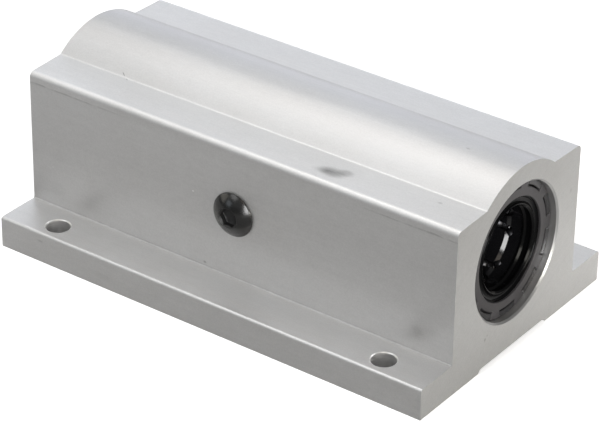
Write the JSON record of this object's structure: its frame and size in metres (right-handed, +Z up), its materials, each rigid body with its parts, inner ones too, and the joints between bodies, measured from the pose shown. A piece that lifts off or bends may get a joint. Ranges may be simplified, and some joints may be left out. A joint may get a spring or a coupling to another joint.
{
  "type": "linear ball bushing pillow block",
  "caption": "Flanged aluminium pillow block housing holding linear ball bushings with load plates, recirculating balls, end rings, lip seals and a side lube plug.",
  "frame": {"origin": "centre of the base, at the bottom of the mounting feet", "axes": "+X along the shaft bore, +Z up from the base, -Y the side with the lube plug"},
  "size_m": [0.1142, 0.0698, 0.0444],
  "materials": {
    "aluminium_body": "clear anodised extrusion, satin, end faces machined",
    "black_oxide_plug": "polished black oxide",
    "nitrile_ring": "smooth moulded",
    "cage_polymer": "moulded, satin",
    "bearing_steel": "hardened and ground",
    "sleeve_polymer": "moulded, matte",
    "end_ring_polymer": "moulded, matte",
    "seal_rubber": "gloss, lubricated",
    "ball_steel": "lapped, mirror bright"
  },
  "bodies": {
    "housing": {"housing": "aluminium_body", "front_retainer": "cage_polymer", "front_bearing_ring": "bearing_steel", "front_outer_sleeve_outboard": "sleeve_polymer", "front_outer_sleeve_inboard": "sleeve_polymer", "front_end_ring_outboard": "end_ring_polymer", "front_end_ring_inboard": "end_ring_polymer", "front_seal_outboard": "seal_rubber", "front_seal_inboard": "seal_rubber", "front_turn_balls": "ball_steel", "rear_retainer": "cage_polymer", "rear_bearing_ring": "bearing_steel", "rear_outer_sleeve_outboard": "sleeve_polymer", "rear_outer_sleeve_inboard": "sleeve_polymer", "rear_end_ring_outboard": "end_ring_polymer", "rear_end_ring_inboard": "end_ring_polymer", "rear_seal_outboard": "seal_rubber", "rear_seal_inboard": "seal_rubber", "rear_turn_balls": "ball_steel"},
    "plug_seal": {"lube_plug_seal": "nitrile_ring"},
    "plug": {"lube_plug": "black_oxide_plug"},
    "front_loaded_balls": {"front_loaded_balls": "ball_steel"},
    "front_return_balls": {"front_return_balls": "ball_steel"},
    "front_load_plate_1": {"front_load_plate_1": "bearing_steel"},
    "front_load_plate_2": {"front_load_plate_2": "bearing_steel"},
    "front_load_plate_3": {"front_load_plate_3": "bearing_steel"},
    "front_load_plate_4": {"front_load_plate_4": "bearing_steel"},
    "front_load_plate_5": {"front_load_plate_5": "bearing_steel"},
    "rear_loaded_balls": {"rear_loaded_balls": "ball_steel"},
    "rear_return_balls": {"rear_return_balls": "ball_steel"},
    "rear_load_plate_1": {"rear_load_plate_1": "bearing_steel"},
    "rear_load_plate_2": {"rear_load_plate_2": "bearing_steel"},
    "rear_load_plate_3": {"rear_load_plate_3": "bearing_steel"},
    "rear_load_plate_4": {"rear_load_plate_4": "bearing_steel"},
    "rear_load_plate_5": {"rear_load_plate_5": "bearing_steel"}
  },
  "joints": [
    {"name": "plug_travel", "type": "slide", "parent": "housing", "child": "plug_seal", "axis": [0, -1, 0], "range_m": [0, 0.01089]},
    {"name": "plug_turn", "type": "hinge", "parent": "plug_seal", "child": "plug", "pos_m": [0, -0.0236, 0.0235], "axis": [0, -1, 0], "range_deg": [0, 4680]},
    {"name": "front_loaded_travel", "type": "slide", "parent": "housing", "child": "front_loaded_balls", "axis": [1, 0, 0], "range_m": [-0.00122, 0.00122]},
    {"name": "front_return_travel", "type": "slide", "parent": "housing", "child": "front_return_balls", "axis": [1, 0, 0], "range_m": [-0.00122, 0.00122]},
    {"name": "front_plate_1_tilt", "type": "hinge", "parent": "housing", "child": "front_load_plate_1", "pos_m": [0.03471, 0.00426, 0.01072], "axis": [0, 0.9511, 0.309], "range_deg": [-0.5, 0.5]},
    {"name": "front_plate_2_tilt", "type": "hinge", "parent": "housing", "child": "front_load_plate_2", "pos_m": [0.03471, 0.01377, 0.02381], "axis": [0, 0, 1], "range_deg": [-0.5, 0.5]},
    {"name": "front_plate_3_tilt", "type": "hinge", "parent": "housing", "child": "front_load_plate_3", "pos_m": [0.03471, 0.00426, 0.03691], "axis": [0, -0.9511, 0.309], "range_deg": [-0.5, 0.5]},
    {"name": "front_plate_4_tilt", "type": "hinge", "parent": "housing", "child": "front_load_plate_4", "pos_m": [0.03471, -0.01114, 0.03191], "axis": [0, -0.5878, -0.809], "range_deg": [-0.5, 0.5]},
    {"name": "front_plate_5_tilt", "type": "hinge", "parent": "housing", "child": "front_load_plate_5", "pos_m": [0.03471, -0.01114, 0.01572], "axis": [0, 0.5878, -0.809], "range_deg": [-0.5, 0.5]},
    {"name": "rear_loaded_travel", "type": "slide", "parent": "housing", "child": "rear_loaded_balls", "axis": [1, 0, 0], "range_m": [-0.00122, 0.00122]},
    {"name": "rear_return_travel", "type": "slide", "parent": "housing", "child": "rear_return_balls", "axis": [1, 0, 0], "range_m": [-0.00122, 0.00122]},
    {"name": "rear_plate_1_tilt", "type": "hinge", "parent": "housing", "child": "rear_load_plate_1", "pos_m": [-0.03471, -0.00426, 0.01072], "axis": [0, -0.9511, 0.309], "range_deg": [-0.5, 0.5]},
    {"name": "rear_plate_2_tilt", "type": "hinge", "parent": "housing", "child": "rear_load_plate_2", "pos_m": [-0.03471, -0.01377, 0.02381], "axis": [0, 0, 1], "range_deg": [-0.5, 0.5]},
    {"name": "rear_plate_3_tilt", "type": "hinge", "parent": "housing", "child": "rear_load_plate_3", "pos_m": [-0.03471, -0.00426, 0.03691], "axis": [0, 0.9511, 0.309], "range_deg": [-0.5, 0.5]},
    {"name": "rear_plate_4_tilt", "type": "hinge", "parent": "housing", "child": "rear_load_plate_4", "pos_m": [-0.03471, 0.01114, 0.03191], "axis": [0, 0.5878, -0.809], "range_deg": [-0.5, 0.5]},
    {"name": "rear_plate_5_tilt", "type": "hinge", "parent": "housing", "child": "rear_load_plate_5", "pos_m": [-0.03471, 0.01114, 0.01572], "axis": [0, -0.5878, -0.809], "range_deg": [-0.5, 0.5]}
  ],
  "couplings": [
    {"joint": "plug_turn", "follows": "plug_travel", "rad_per_m": 6926.3},
    {"joint": "front_return_travel", "follows": "front_loaded_travel", "ratio": -1},
    {"joint": "rear_return_travel", "follows": "rear_loaded_travel", "ratio": -1}
  ]
}
